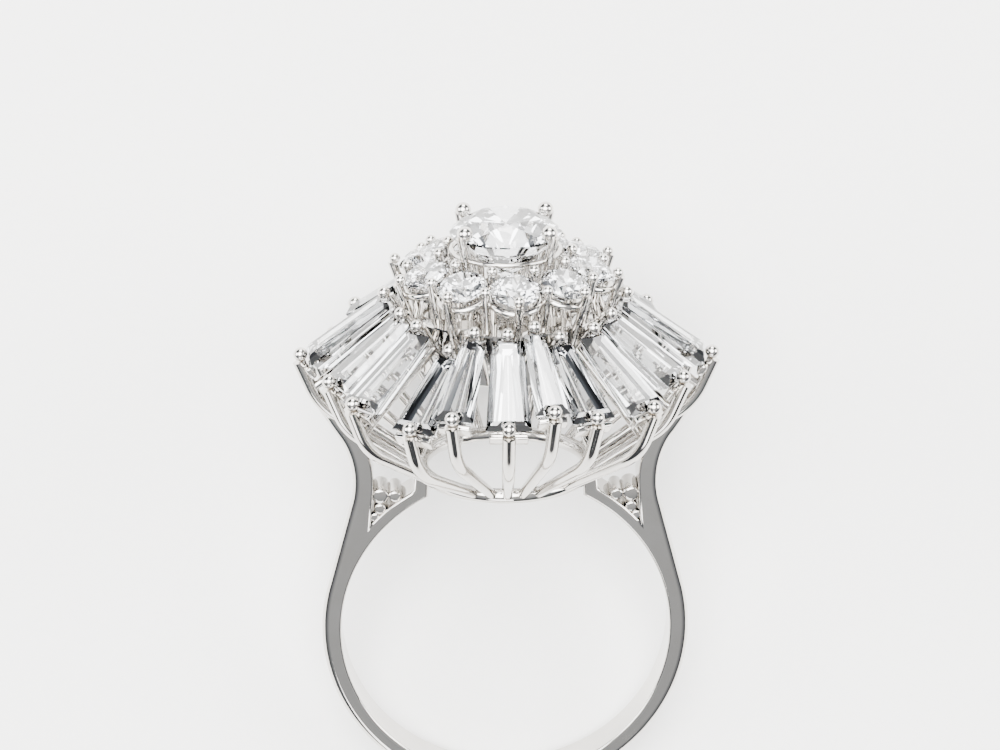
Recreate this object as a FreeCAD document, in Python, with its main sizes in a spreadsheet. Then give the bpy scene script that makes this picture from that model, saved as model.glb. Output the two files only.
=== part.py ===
import FreeCAD, Part
import Sketcher
import math
import os
from FreeCAD import Placement, Rotation, Vector

# A cocktail ring of the ballerina kind, in millimetres. It is designed upright: the finger runs
# along Y, the head stands on +Z and the middle of the finger hole is the origin. At the end every
# piece is laid on the fingertip side, as the ring rests by itself on a table.

SIZES = (
    ("finger_radius", 8.5),
    ("shank_width", 2.2),
    ("shank_thickness", 1.0),
    ("shank_edge_round", 0.4),
    ("low_arm_thickness", 0.65),
    ("high_arm_thickness", 1.05),
    ("shoulder_angle", 15.0),
    ("shoulder_run", 4.72),
    ("flare_radius", 4.85),
    ("flare_direction", 58.0),
    ("high_arm_top", 12.6),
    ("post_inner", 3.95),
    ("post_outer", 4.65),
    ("base_ring_radius", 4.3),
    ("base_ring_wire", 0.38),
    ("base_ring_height", 8.9),
    ("drum_radius", 5.0),
    ("drum_wall", 0.5),
    ("drum_bottom", 14.9),
    ("plate_top", 17.5),
    ("plate_thickness", 0.45),
    ("plate_hole_radius", 1.8),
    ("light_hole_radius", 0.75),
    ("light_hole_reach", 3.7),
    ("claw_radius", 0.33),
    ("claw_bead_radius", 0.36),
    ("claw_lean", 22.0),
    ("claw_drop", 2.5),
    ("claw_knee_radius", 3.5),
    ("inner_claw_radius", 0.21),
    ("inner_bead_radius", 0.33),
    ("bearer_radius", 0.22),
    ("seat_block_height", 0.6),
    ("seat_block_thickness", 0.3),
    ("crown_height", 0.34),
    ("pavilion_depth", 1.02),
    ("girdle_half", 0.04),
    ("stone_gap", 0.07),
    ("halo_stones", 10),
    ("halo_diameter", 2.46),
    ("halo_reach", 4.3),
    ("halo_height", 19.65),
    ("halo_tilt", 20.0),
    ("halo_turn", 4.5),
    ("halo_claw_radius", 0.23),
    ("halo_bead_radius", 0.28),
    ("centre_diameter", 5.6),
    ("centre_height", 21.3),
    ("centre_claw_radius", 0.24),
    ("centre_claw_lean", 15.0),
    ("centre_bead_radius", 0.4),
    ("collet_ring_radius", 2.7),
    ("collet_ring_wire", 0.13),
    ("collet_ring_height", 20.4),
    ("fork_rod_length", 1.9),
    ("halo_seat_radius", 1.2),
    ("halo_seat_wire", 0.2),
    ("halo_seat_depth", 0.55),
    ("rest_tilt", 20.95),
)

# The baguettes of the skirt, set by hand: the bearing of each from the front of the ring and that
# of its claw's foot, the place of its outer girdle end, its slope, its length and its two widths.
BAGUETTES = (
    # bearing, foot bearing, reach, height, slope, length, outer width, inner width
    (-84.0, -84.0, 9.95, 15.05, 36.0, 4.95, 2.20, 1.50),
    (-65.0, -65.0, 9.30, 14.70, 37.0, 4.60, 2.10, 1.35),
    (-48.0, -43.0, 9.85, 14.55, 35.0, 4.90, 2.20, 1.45),
    (-29.0, -21.5, 9.65, 13.95, 34.0, 4.60, 2.30, 1.40),
    (-16.5, -10.0, 9.70, 14.80, 36.0, 4.75, 1.90, 1.10),
    (-1.0, -0.5, 9.60, 14.40, 40.0, 4.95, 2.20, 1.50),
    (11.5, 9.0, 9.65, 15.15, 35.0, 4.75, 1.70, 0.95),
    (24.5, 19.0, 9.45, 14.50, 35.0, 4.65, 2.30, 1.40),
    (43.5, 40.0, 9.65, 14.40, 37.0, 4.80, 2.30, 1.50),
    (64.0, 64.0, 9.20, 14.80, 35.0, 4.50, 2.20, 1.45),
    (83.0, 83.0, 10.00, 15.05, 35.0, 5.00, 2.20, 1.50),
    (100.0, 100.0, 9.20, 14.10, 36.0, 4.70, 2.15, 1.40),
    (116.0, 116.0, 9.40, 14.25, 35.0, 4.70, 2.20, 1.45),
    (132.0, 132.0, 9.95, 15.00, 35.0, 4.90, 2.20, 1.45),
    (148.5, 148.5, 9.35, 14.45, 36.0, 4.70, 2.20, 1.40),
    (164.5, 164.5, 9.85, 14.90, 35.0, 4.90, 2.10, 1.45),
    (180.0, 180.0, 9.05, 14.40, 37.0, 4.60, 2.20, 1.40),
    (-164.5, -164.5, 9.85, 14.90, 35.0, 4.90, 2.10, 1.45),
    (-148.5, -148.5, 9.35, 14.45, 36.0, 4.70, 2.20, 1.40),
    (-132.0, -132.0, 9.95, 15.00, 35.0, 4.90, 2.20, 1.45),
    (-116.0, -116.0, 9.40, 14.25, 35.0, 4.70, 2.20, 1.45),
    (-100.0, -100.0, 9.20, 14.10, 36.0, 4.70, 2.15, 1.40),
)

# The steps of a baguette from its table down to its keel. On the crown: the share of the crown
# height and the inset in millimetres. On the pavilion: the share of the depth and the inset as a
# share of half the narrow width.
CROWN_STEPS = ((1.0, 0.36), (0.62, 0.20))
PAVILION_STEPS = ((0.42, 0.34), (0.78, 0.68), (1.0, 0.92))

# The short rods in the fork of each shoulder: sideways and up from the finger's middle, and radius.
FORK_RODS = (
    # across, up, radius
    (6.40, 7.52, 0.45),
    (5.66, 7.50, 0.34),
    (6.42, 6.82, 0.32),
    (6.68, 6.36, 0.26),
)

CENTRE_CLAW_BEARINGS = (45.0, 135.0, 225.0, 315.0)

doc = FreeCAD.newDocument("ballerina_ring")
sheet = doc.addObject("Spreadsheet::Sheet", "sizes")
for row, (alias, value) in enumerate(SIZES, start=1):
    sheet.set(f"A{row}", alias)
    sheet.set(f"B{row}", str(value))
    sheet.setAlias(f"B{row}", alias)
doc.recompute()
size = {alias: float(sheet.get(alias)) for alias, _ in SIZES}


# Helpers for places in the upright ring

def polar(bearing, reach, height):
    """The point at a bearing from the front of the ring, at a reach from the head's axis."""
    turn = math.radians(bearing)
    return Vector(reach * math.sin(turn), -reach * math.cos(turn), height)


def seat(bearing, reach, height, slope):
    """The frame of a stone that lies outwards and down: X along it, Z out of its table."""
    outward = polar(bearing, 1, 0)
    tip = math.radians(slope)
    along = outward * math.cos(tip) - Vector(0, 0, math.sin(tip))
    out_of_table = outward * math.sin(tip) + Vector(0, 0, math.cos(tip))
    across = out_of_table.cross(along)
    turn = Rotation(along, across, out_of_table, "ZXY")
    return Placement(polar(bearing, reach, height), turn)


def feature(name, shape, placement=Placement()):
    """A document object that holds a shape, with its place set after the shape."""
    made = doc.addObject("Part::Feature", name)
    made.Label = name
    made.Shape = shape
    made.Placement = placement
    return made


# Helpers for claws, rods and facets

def rod(start, end, radius):
    """A round rod between two points."""
    run = end - start
    return Part.makeCylinder(radius, run.Length, start, run)


def bent_rod(start, corner, end, bend, radius):
    """A round rod with one bend, drawn along two runs and the arc between them."""
    back = (start - corner).normalize()
    ahead = (end - corner).normalize()
    half_turn = (math.pi - back.getAngle(ahead)) / 2
    setback = bend * math.tan(half_turn)
    inwards = (back + ahead).normalize()
    middle = corner + inwards * (bend / math.cos(half_turn) - bend)
    first = corner + back * setback
    last = corner + ahead * setback
    path = Part.Wire([
        Part.LineSegment(start, first).toShape(),
        Part.Arc(first, middle, last).toShape(),
        Part.LineSegment(last, end).toShape(),
    ])
    section = Part.Wire([Part.Circle(start, corner - start, radius).toShape()])
    return path.makePipeShell([section], True, True)


def solid_of(faces):
    """A closed solid of flat facets, each given by its corners."""
    shell = Part.makeShell([Part.Face(Part.makePolygon(corners + [corners[0]])) for corners in faces])
    solid = Part.makeSolid(shell)
    if solid.Volume < 0:
        solid.reverse()
    return solid


# Stones

def baguette(length, outer_width, inner_width):
    """A tapered step-cut stone: its outer girdle end at the origin, its length along -X."""
    half_narrow = min(outer_width, inner_width) / 2
    taper = (outer_width - inner_width) / 2 / length
    slant = math.hypot(1, taper)
    levels = [(size["girdle_half"] + share * size["crown_height"], inset)
              for share, inset in CROWN_STEPS]
    levels += [(size["girdle_half"], 0), (-size["girdle_half"], 0)]
    levels += [(-size["girdle_half"] - share * size["pavilion_depth"], inset * half_narrow)
               for share, inset in PAVILION_STEPS]
    rings = []
    for height, inset in levels:
        corners = []
        for back, side in ((inset, 1), (length - inset, 1), (length - inset, -1), (inset, -1)):
            half_width = outer_width / 2 - taper * back - inset * slant
            corners.append(Vector(-back, side * half_width, height))
        rings.append(corners)
    faces = [rings[0], rings[-1][::-1]]
    for upper, lower in zip(rings, rings[1:]):
        for k in range(4):
            following = (k + 1) % 4
            faces.append([upper[k], lower[k], lower[following], upper[following]])
    return solid_of(faces)


def brilliant(diameter):
    """A round brilliant, its girdle's middle at the origin and its table towards +Z."""
    girdle = diameter / 2
    half_girdle = 0.008 * diameter
    crown = 0.15 * diameter
    pavilion = 0.43 * diameter
    mains = 8
    step = math.pi / mains

    def around(radius, height, count):
        """The point a number of half-steps round the stone."""
        return Vector(radius * math.cos(count * step), radius * math.sin(count * step), height)

    def half(sign, flat_radius, depth, ring_radius):
        """The table, star tips and girdle corners of one side of the stone."""
        flat = [around(flat_radius, sign * (half_girdle + depth), 2 * k) for k in range(mains)]
        drop = (ring_radius * math.cos(step) - flat_radius) * depth / (girdle - flat_radius)
        tips = [around(ring_radius, sign * (half_girdle + depth - drop), 2 * k + 1)
                for k in range(mains)]
        rim = [around(girdle, sign * half_girdle, k) for k in range(2 * mains)]
        return flat, tips, rim

    table, stars, upper_rim = half(1, 0.28 * diameter, crown, 0.38 * diameter)
    culet, lower_tips, lower_rim = half(-1, 0.012 * diameter, pavilion, 0.16 * diameter)
    faces = [table, culet[::-1]]
    for k in range(mains):
        following = (k + 1) % mains
        corner, between, next_corner = 2 * k, 2 * k + 1, (2 * k + 2) % (2 * mains)
        before = (k - 1) % mains
        faces.append([table[k], stars[k], table[following]])
        faces.append([stars[k], upper_rim[corner], upper_rim[between]])
        faces.append([stars[k], upper_rim[between], upper_rim[next_corner]])
        faces.append([table[k], stars[before], upper_rim[corner], stars[k]])
        faces.append([culet[k], culet[following], lower_tips[k]])
        faces.append([lower_tips[k], lower_rim[between], lower_rim[corner]])
        faces.append([lower_tips[k], lower_rim[next_corner], lower_rim[between]])
        faces.append([culet[k], lower_tips[k], lower_rim[corner], lower_tips[before]])
        for first, second in ((corner, between), (between, next_corner)):
            faces.append([upper_rim[first], lower_rim[first], lower_rim[second], upper_rim[second]])
    return solid_of(faces)


# Shank: a profile across the finger, padded to the shank's width

def shank_profile():
    """The lines and arcs of the right half, in order: the kind, the points and the radius."""
    bore = size["finger_radius"]
    outer = bore + size["shank_thickness"]
    low_top = bore + size["low_arm_thickness"]
    angle = math.radians(size["shoulder_angle"])
    flare = math.radians(size["flare_direction"])
    outward = Vector(math.cos(angle), math.sin(angle), 0)
    upward = Vector(-math.sin(angle), math.cos(angle), 0)
    shoulder = outward * outer
    flare_start = shoulder + upward * size["shoulder_run"]
    flare_middle = flare_start + outward * size["flare_radius"]
    inner_flare = size["flare_radius"] + size["high_arm_thickness"]
    leaving = Vector(math.cos(flare), math.sin(flare), 0)
    square = Vector(-math.sin(flare), math.cos(flare), 0)

    def on_bore(radius, across):
        """The point of a circle about the finger at a distance across."""
        return Vector(across, math.sqrt(radius ** 2 - across ** 2), 0)

    def on_flare(radius, degrees):
        """The point of a circle about the middle of the flare."""
        turn = math.radians(degrees)
        return flare_middle + Vector(math.cos(turn), math.sin(turn), 0) * radius

    def up_to_top(point):
        """The point where the arm's edge, followed along the flare, reaches its top."""
        return point + leaving * ((size["high_arm_top"] - point.y) / leaving.y)

    outer_flare_end = flare_middle + square * size["flare_radius"]
    inner_flare_end = flare_middle + square * inner_flare
    inner_flare_start = on_flare(inner_flare, 184)
    crotch = on_bore(low_top, inner_flare_start.x + 0.15)
    post_foot = on_bore(low_top, size["post_outer"])
    arm_end = on_bore(bore, size["post_inner"])
    post_top = size["base_ring_height"]
    bottom_turn = -math.pi / 4
    diagonal = Vector(math.cos(bottom_turn), math.sin(bottom_turn), 0)
    arm_middle = (crotch + post_foot).normalize() * low_top
    return [
        ("arc", (Vector(0, -bore, 0), diagonal * bore, arm_end), bore),
        ("line", (arm_end, Vector(size["post_inner"], post_top, 0)), None),
        ("line", (Vector(size["post_inner"], post_top, 0), Vector(size["post_outer"], post_top, 0)), None),
        ("line", (Vector(size["post_outer"], post_top, 0), post_foot), None),
        ("arc", (post_foot, arm_middle, crotch), low_top),
        ("line", (crotch, inner_flare_start), None),
        ("arc", (inner_flare_start, on_flare(inner_flare, 168), inner_flare_end), inner_flare),
        ("line", (inner_flare_end, up_to_top(inner_flare_end)), None),
        ("line", (up_to_top(inner_flare_end), up_to_top(outer_flare_end)), None),
        ("line", (up_to_top(outer_flare_end), outer_flare_end), None),
        ("arc", (outer_flare_end, on_flare(size["flare_radius"], 170), flare_start), size["flare_radius"]),
        ("line", (flare_start, shoulder), None),
        ("arc", (shoulder, diagonal * outer, Vector(0, -outer, 0)), outer),
    ]


def origin_plane(body, role):
    """One of a body's own origin planes."""
    return next(plane for plane in body.Origin.OriginFeatures if plane.Role == role)


def make_shank():
    """The shank with its split shoulders, as a body padded from a sketch."""
    body = doc.addObject("PartDesign::Body", "shank")
    sketch = body.newObject("Sketcher::SketchObject", "shank_profile")
    sketch.AttachmentSupport = (origin_plane(body, "XZ_Plane"), "")
    sketch.MapMode = "FlatFace"
    half = shank_profile()
    other_half = [(kind, [Vector(-spot.x, spot.y, 0) for spot in reversed(points)], radius)
                  for kind, points, radius in half]
    profile = half + other_half
    curves = [Part.LineSegment(*points) if kind == "line" else Part.Arc(*points)
              for kind, points, _ in profile]
    for curve in curves:
        sketch.addGeometry(curve, False)
    bound = {size["finger_radius"]: "sizes.finger_radius",
             size["finger_radius"] + size["shank_thickness"]: "sizes.finger_radius + sizes.shank_thickness"}
    for k, (kind, _, radius) in enumerate(profile):
        if kind == "arc" and radius in bound:
            sketch.addConstraint(Sketcher.Constraint("Radius", k, radius))
            sketch.renameConstraint(sketch.ConstraintCount - 1, f"radius_{k}")
            sketch.setExpression(f"Constraints.radius_{k}", bound[radius])
    pad = body.newObject("PartDesign::Pad", "shank_pad")
    pad.Profile = sketch
    pad.Midplane = True
    pad.setExpression("Length", "sizes.shank_width")
    doc.recompute()
    outer_chain = [curve.toShape() for curve in curves[9:13]]
    soft = body.newObject("PartDesign::Fillet", "shank_soft_edges")
    soft.Base = (pad, edges_beside(pad.Shape, outer_chain, size["shank_width"] / 2))
    soft.setExpression("Radius", "sizes.shank_edge_round")
    body.Tip = soft
    doc.recompute()
    return body


def edges_beside(shape, chain, half_width):
    """The names of the edges on both flat sides that follow a chain of profile curves."""
    names = []
    for k, edge in enumerate(shape.Edges, start=1):
        middle = edge.valueAt((edge.FirstParameter + edge.LastParameter) / 2)
        flat = edge.BoundBox.YLength < 1e-6 and abs(abs(middle.y) - half_width) < 1e-6
        spot = Part.Vertex(abs(middle.x), middle.z, 0)
        if flat and any(curve.distToShape(spot)[0] < 1e-4 for curve in chain):
            names.append(f"Edge{k}")
    return names


def make_fork_rods():
    """The short round rods that fill the forks of the shoulders."""
    rods = []
    for side in (-1, 1):
        for across, up, radius in FORK_RODS:
            made = doc.addObject("Part::Cylinder", "fork_rod")
            made.Radius = radius
            made.setExpression("Height", "sizes.fork_rod_length")
            start = Vector(side * across, size["fork_rod_length"] / 2, up)
            made.Placement = Placement(start, Rotation(Vector(1, 0, 0), 90))
            rods.append(made)
    return rods


def make_ring(name, radius, wire, height):
    """A round wire ring about the head's axis, bound to three cells of the sheet."""
    made = doc.addObject("Part::Torus", name)
    made.setExpression("Radius1", f"sizes.{radius}")
    made.setExpression("Radius2", f"sizes.{wire}")
    made.setExpression("Placement.Base.z", f"sizes.{height}")
    return made


def make_gallery():
    """The drum and plate under the cluster, with a light hole under each small brilliant."""
    body = doc.addObject("PartDesign::Body", "gallery")
    sketch = body.newObject("Sketcher::SketchObject", "gallery_section")
    sketch.AttachmentSupport = (origin_plane(body, "XZ_Plane"), "")
    sketch.MapMode = "FlatFace"
    outer = size["drum_radius"]
    inner = outer - size["drum_wall"]
    under = size["plate_top"] - size["plate_thickness"]
    section = [
        Vector(outer, size["drum_bottom"], 0),
        Vector(outer, size["plate_top"], 0),
        Vector(size["plate_hole_radius"], size["plate_top"], 0),
        Vector(size["plate_hole_radius"], under, 0),
        Vector(inner, under, 0),
        Vector(inner, size["drum_bottom"], 0),
    ]
    for start, end in zip(section, section[1:] + section[:1]):
        sketch.addGeometry(Part.LineSegment(start, end), False)
    turned = body.newObject("PartDesign::Revolution", "gallery_turned")
    turned.Profile = sketch
    turned.ReferenceAxis = (sketch, ["V_Axis"])
    turned.Angle = 360
    doc.recompute()
    hole_sketch = body.newObject("Sketcher::SketchObject", "light_hole_sketch")
    hole_sketch.AttachmentSupport = (origin_plane(body, "XY_Plane"), "")
    hole_sketch.MapMode = "FlatFace"
    place = polar(size["halo_turn"], size["light_hole_reach"], 0)
    hole_sketch.addGeometry(Part.Circle(place, Vector(0, 0, 1), size["light_hole_radius"]), False)
    hole_sketch.addConstraint(Sketcher.Constraint("Radius", 0, size["light_hole_radius"]))
    hole_sketch.renameConstraint(0, "hole")
    hole_sketch.setExpression("Constraints.hole", "sizes.light_hole_radius")
    pocket = body.newObject("PartDesign::Pocket", "light_hole")
    pocket.Profile = hole_sketch
    pocket.Type = "ThroughAll"
    pocket.Midplane = True
    pattern = body.newObject("PartDesign::PolarPattern", "light_holes")
    pattern.Originals = [pocket]
    pattern.Axis = (origin_axis(body, "Z_Axis"), [""])
    pattern.Angle = 360
    pattern.setExpression("Occurrences", "sizes.halo_stones")
    body.Tip = pattern
    doc.recompute()
    one_hole = math.pi * size["light_hole_radius"] ** 2 * size["plate_thickness"]
    removed = turned.Shape.Volume - pattern.Shape.Volume
    if abs(removed - size["halo_stones"] * one_hole) > 0.02 * removed:
        raise RuntimeError(f"the light holes took away {removed:.3f} mm3")
    return body


def origin_axis(body, role):
    """One of a body's own origin axes."""
    return next(axis for axis in body.Origin.OriginFeatures if axis.Role == role)


# Skirt: an outer claw, a bearer and an inner claw for each baguette

def skirt_metal(row):
    """The metal that holds one baguette: outer claw, bearer, inner claw and their beads."""
    bearing, foot_bearing, reach, height, slope, length, outer_width, _ = row
    place = seat(bearing, reach, height, slope)
    gap = size["stone_gap"]
    lean = math.radians(size["claw_lean"])
    claw_top = place.multVec(Vector(size["claw_radius"] + gap + 0.02, 0, 0.2))
    downwards = polar(bearing, -math.sin(lean), -math.cos(lean))
    knee = claw_top + downwards * size["claw_drop"]
    foot = polar(foot_bearing, size["base_ring_radius"], size["base_ring_height"])
    outer = bent_rod(claw_top, knee, foot, size["claw_knee_radius"], size["claw_radius"])
    outer_bead = place.multVec(Vector(0.14, 0, size["claw_bead_radius"] + 0.1))
    bearer_depth = size["girdle_half"] + size["pavilion_depth"] + gap + size["bearer_radius"]
    drum_middle = size["drum_radius"] - size["drum_wall"] / 2

    def to_drum(point, direction):
        """Follows a direction in the claw's upright plane to the middle of the drum's wall."""
        reached = math.hypot(point.x, point.y)
        inward = math.hypot(direction.x, direction.y)
        return point + direction * ((reached - drum_middle) / inward)

    inner_end = place.multVec(Vector(-length, 0, -bearer_depth))
    up_slope = place.Rotation.multVec(Vector(-1, 0, 0))
    under = place.Rotation.multVec(Vector(0, 0, -1))
    outer_end = meet_claw(place, bearer_depth, claw_top, downwards)
    bearer = rod(to_drum(inner_end, up_slope), outer_end, size["bearer_radius"])
    inner_top = place.multVec(Vector(-length - size["inner_claw_radius"] - gap, 0, 0.15))
    inner = rod(to_drum(inner_top, under), inner_top, size["inner_claw_radius"])
    inner_bead = place.multVec(Vector(-length - 0.12, 0, size["inner_bead_radius"] + 0.12))
    bead = Part.makeSphere(size["claw_bead_radius"], outer_bead)
    small_bead = Part.makeSphere(size["inner_bead_radius"], inner_bead)
    block_width = 0.84 * outer_width
    block = Part.makeBox(size["seat_block_thickness"], block_width, size["seat_block_height"],
                         Vector(0.03, -block_width / 2, -size["seat_block_height"] - 0.12))
    block.Placement = place
    return bead.multiFuse([outer, bearer, inner, small_bead, block])


def meet_claw(place, depth, claw_top, downwards):
    """The point where the bearer, drawn out below the stone, meets the outer claw."""
    start = place.multVec(Vector(0, 0, -depth))
    along = place.Rotation.multVec(Vector(1, 0, 0))
    to_claw = claw_top - start
    normal = along.cross(downwards)
    distance = to_claw.cross(downwards).dot(normal) / normal.dot(normal)
    return start + along * distance


# Cluster: claws round the small brilliants and round the centre stone

def halo_place(k):
    """The frame of a small brilliant, leaning outwards."""
    bearing = size["halo_turn"] + 360 / size["halo_stones"] * k
    leaning = seat(bearing, size["halo_reach"], size["halo_height"], size["halo_tilt"])
    return bearing, leaning


def halo_metal(k):
    """The seat ring, the outer claw and the two shared claws that go with a small brilliant."""
    bearing, place = halo_place(k)
    stone = size["halo_diameter"] / 2
    claw = size["halo_claw_radius"]
    bead = size["halo_bead_radius"]
    off = stone + size["stone_gap"] + claw
    plate = size["plate_top"] - size["plate_thickness"] / 2
    drum_middle = size["drum_radius"] - size["drum_wall"] / 2
    top = place.multVec(Vector(off, 0, 0.25))
    downwards = place.Rotation.multVec(Vector(0, 0, -1))
    inward = math.hypot(downwards.x, downwards.y)
    foot = top + downwards * ((math.hypot(top.x, top.y) - drum_middle) / inward)
    parts = [rod(foot, top, claw), Part.makeSphere(bead, place.multVec(Vector(off - 0.2, 0, bead + 0.09)))]
    below = place.multVec(Vector(0, 0, -size["halo_seat_depth"]))
    parts.append(Part.makeTorus(size["halo_seat_radius"], size["halo_seat_wire"], below, downwards))
    half_pitch = 180 / size["halo_stones"]
    half_chord = size["halo_reach"] * math.sin(math.radians(half_pitch))
    middle = size["halo_reach"] * math.cos(math.radians(half_pitch))
    spread = math.sqrt(off ** 2 - half_chord ** 2)
    fall = math.tan(math.radians(size["halo_tilt"]))
    for reach, foot_reach in ((middle + spread + 0.06, 4.4), (middle - spread, 3.0)):
        shared_top = polar(bearing + half_pitch, reach, size["halo_height"] - (reach - size["halo_reach"]) * fall)
        shared_foot = polar(bearing + half_pitch, foot_reach, plate)
        parts.append(rod(shared_foot, shared_top + Vector(0, 0, 0.2), claw))
        parts.append(Part.makeSphere(bead, shared_top + Vector(0, 0, bead)))
    return parts[0].multiFuse(parts[1:])


def centre_metal(bearing):
    """One claw of the centre stone."""
    stone = size["centre_diameter"] / 2
    lean = math.tan(math.radians(size["centre_claw_lean"]))
    plate = size["plate_top"] - size["plate_thickness"] / 2
    top_height = size["centre_height"] + 0.4
    clear = stone + size["stone_gap"] + size["centre_claw_radius"] * math.hypot(1, lean)
    reach = clear + (top_height - size["centre_height"]) * lean
    foot_reach = reach - (top_height - plate) * lean
    claw = rod(polar(bearing, foot_reach, plate), polar(bearing, reach, top_height), size["centre_claw_radius"])
    bead = polar(bearing, reach - 0.3, size["centre_height"] + size["centre_bead_radius"] + 0.13)
    return Part.makeSphere(size["centre_bead_radius"], bead).fuse(claw)


# The soldered metal: three groups joined one after another into one solid

def joined(name, shapes):
    """A union of document objects under one name."""
    made = doc.addObject("Part::MultiFuse", name)
    made.Shapes = shapes
    made.Refine = False
    doc.recompute()
    return made


cluster = [make_gallery()]
cluster.append(make_ring("collet_ring", "collet_ring_radius", "collet_ring_wire", "collet_ring_height"))
for k in range(int(size["halo_stones"])):
    cluster.append(feature(f"halo_claws_{k + 1:02d}", halo_metal(k)))
for k, bearing in enumerate(CENTRE_CLAW_BEARINGS, start=1):
    cluster.append(feature(f"centre_claw_{k}", centre_metal(bearing)))

skirt = [make_ring("base_ring", "base_ring_radius", "base_ring_wire", "base_ring_height")]
for k, row in enumerate(BAGUETTES, start=1):
    skirt.append(feature(f"skirt_claws_{k:02d}", skirt_metal(row)))

basket = joined("basket", [joined("cluster_frame", cluster)] + skirt)
mount = joined("mount", [basket, joined("shank_frame", [make_shank()] + make_fork_rods())])

# The stones, each a solid of its own

pieces = [mount]
pieces.append(feature("centre_stone", brilliant(size["centre_diameter"]),
                      Placement(Vector(0, 0, size["centre_height"]), Rotation())))
small_brilliant = brilliant(size["halo_diameter"])
for k in range(int(size["halo_stones"])):
    pieces.append(feature(f"halo_stone_{k + 1:02d}", small_brilliant, halo_place(k)[1]))
for k, (bearing, _, reach, height, slope, length, outer_width, inner_width) in enumerate(BAGUETTES, start=1):
    stone = baguette(length, outer_width, inner_width)
    pieces.append(feature(f"baguette_{k:02d}", stone, seat(bearing, reach, height, slope)))

# Laid on the fingertip side: the plane that the shank and the rear claws both touch

lay = Placement(Vector(), Rotation(Vector(1, 0, 0), size["rest_tilt"] - 90))
box = FreeCAD.BoundBox()
for piece in pieces:
    piece.Placement = lay.multiply(piece.Placement)
doc.recompute()
for piece in pieces:
    box.add(piece.Shape.optimalBoundingBox(False))
settle = Placement(Vector(-box.Center.x, -box.Center.y, -box.ZMin), Rotation())
for piece in pieces:
    piece.Placement = settle.multiply(piece.Placement)
doc.recompute()

# Every object is tested before anything is written

for item in doc.Objects:
    if "Invalid" in item.State or "Error" in item.State:
        raise RuntimeError(f"{item.Label} failed: {item.State}")
for piece in pieces:
    if piece.Shape.isNull() or not piece.Shape.isValid() or len(piece.Shape.Solids) != 1:
        raise RuntimeError(f"{piece.Label} is not one valid solid")

os.makedirs("parts", exist_ok=True)
for piece in pieces:
    piece.Shape.exportStep(f"parts/{piece.Label}.step")
print("metal", round(mount.Shape.Volume, 2), "mm3, box", box)
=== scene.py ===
"""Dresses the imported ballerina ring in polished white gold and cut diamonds, on a pale card."""
import logging
import math
from dataclasses import dataclass, replace
from enum import Enum
from typing import Iterable, Sequence

import bmesh
import bpy
from mathutils import Matrix, Vector


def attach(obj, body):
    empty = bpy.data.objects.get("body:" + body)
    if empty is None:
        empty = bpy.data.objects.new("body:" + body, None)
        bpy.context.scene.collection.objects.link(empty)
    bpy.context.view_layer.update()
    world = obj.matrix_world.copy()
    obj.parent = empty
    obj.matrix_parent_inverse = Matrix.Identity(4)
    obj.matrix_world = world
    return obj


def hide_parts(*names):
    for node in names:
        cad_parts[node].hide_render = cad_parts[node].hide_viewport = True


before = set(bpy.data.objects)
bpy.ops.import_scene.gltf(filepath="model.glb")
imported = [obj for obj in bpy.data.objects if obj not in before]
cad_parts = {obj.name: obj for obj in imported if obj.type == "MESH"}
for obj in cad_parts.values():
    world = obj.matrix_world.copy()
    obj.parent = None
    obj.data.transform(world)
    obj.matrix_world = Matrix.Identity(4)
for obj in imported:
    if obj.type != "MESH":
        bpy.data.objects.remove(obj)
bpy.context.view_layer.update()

LOG = logging.getLogger("ballerina_ring")

# The ring is drawn upright in millimetres, as in the part: finger along Y, head on +Z, and the
# middle of the finger hole at the origin. This turn and shift lay it on its fingertip side.
REST_TILT = 20.95
REST_SHIFT = Vector((-0.0152, -6.1889, 4.3075))
UPRIGHT_TO_REST = (Matrix.Scale(0.001, 4) @ Matrix.Translation(REST_SHIFT)
                   @ Matrix.Rotation(math.radians(REST_TILT - 90), 4, "X"))

# Measures that several sub-assemblies share, in the same millimetres, and degrees.
BASE_RING_RADIUS = 4.3
BASE_RING_HEIGHT = 8.9
DRUM_MIDDLE = 4.75
PLATE_MIDDLE = 17.275
SMALL_STONES = 10
SMALL_STONES_TURN = 4.5
STONE_GAP = 0.07


class Slot(Enum):
    """The record's material slots."""

    METAL = "white_gold"
    STONE = "clear_stone"


def linear(hex_colour: str) -> tuple[float, float, float, float]:
    """Turns an sRGB hex colour to linear light.

    Args:
        hex_colour: six hex digits, with or without a leading #.

    Returns:
        Linear red, green and blue, and an alpha of 1.
    """
    digits = hex_colour.lstrip("#")
    channels = [int(digits[k:k + 2], 16) / 255 for k in (0, 2, 4)]
    r, g, b = [c / 12.92 if c <= 0.04045 else ((c + 0.055) / 1.055) ** 2.4 for c in channels]
    return r, g, b, 1.0


def add_node(tree: bpy.types.NodeTree, kind: str, settings: dict | None = None,
             inputs: dict | None = None) -> bpy.types.Node:
    """Adds one node with its settings, socket values and links.

    Args:
        tree: the tree that gets the node.
        kind: the node's type name.
        settings: attributes of the node to set.
        inputs: socket name or number to a value, or to the socket that feeds it.

    Returns:
        The new node.
    """
    node = tree.nodes.new(kind)
    for name, value in (settings or {}).items():
        setattr(node, name, value)
    for key, value in (inputs or {}).items():
        if isinstance(value, bpy.types.NodeSocket):
            tree.links.new(value, node.inputs[key])
        else:
            node.inputs[key].default_value = value
    return node


def polar(bearing: float, reach: float, height: float) -> Vector:
    """The upright point at a bearing in degrees, a reach from the head's axis and a height."""
    turn = math.radians(bearing)
    return Vector((reach * math.sin(turn), -reach * math.cos(turn), height))


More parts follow.
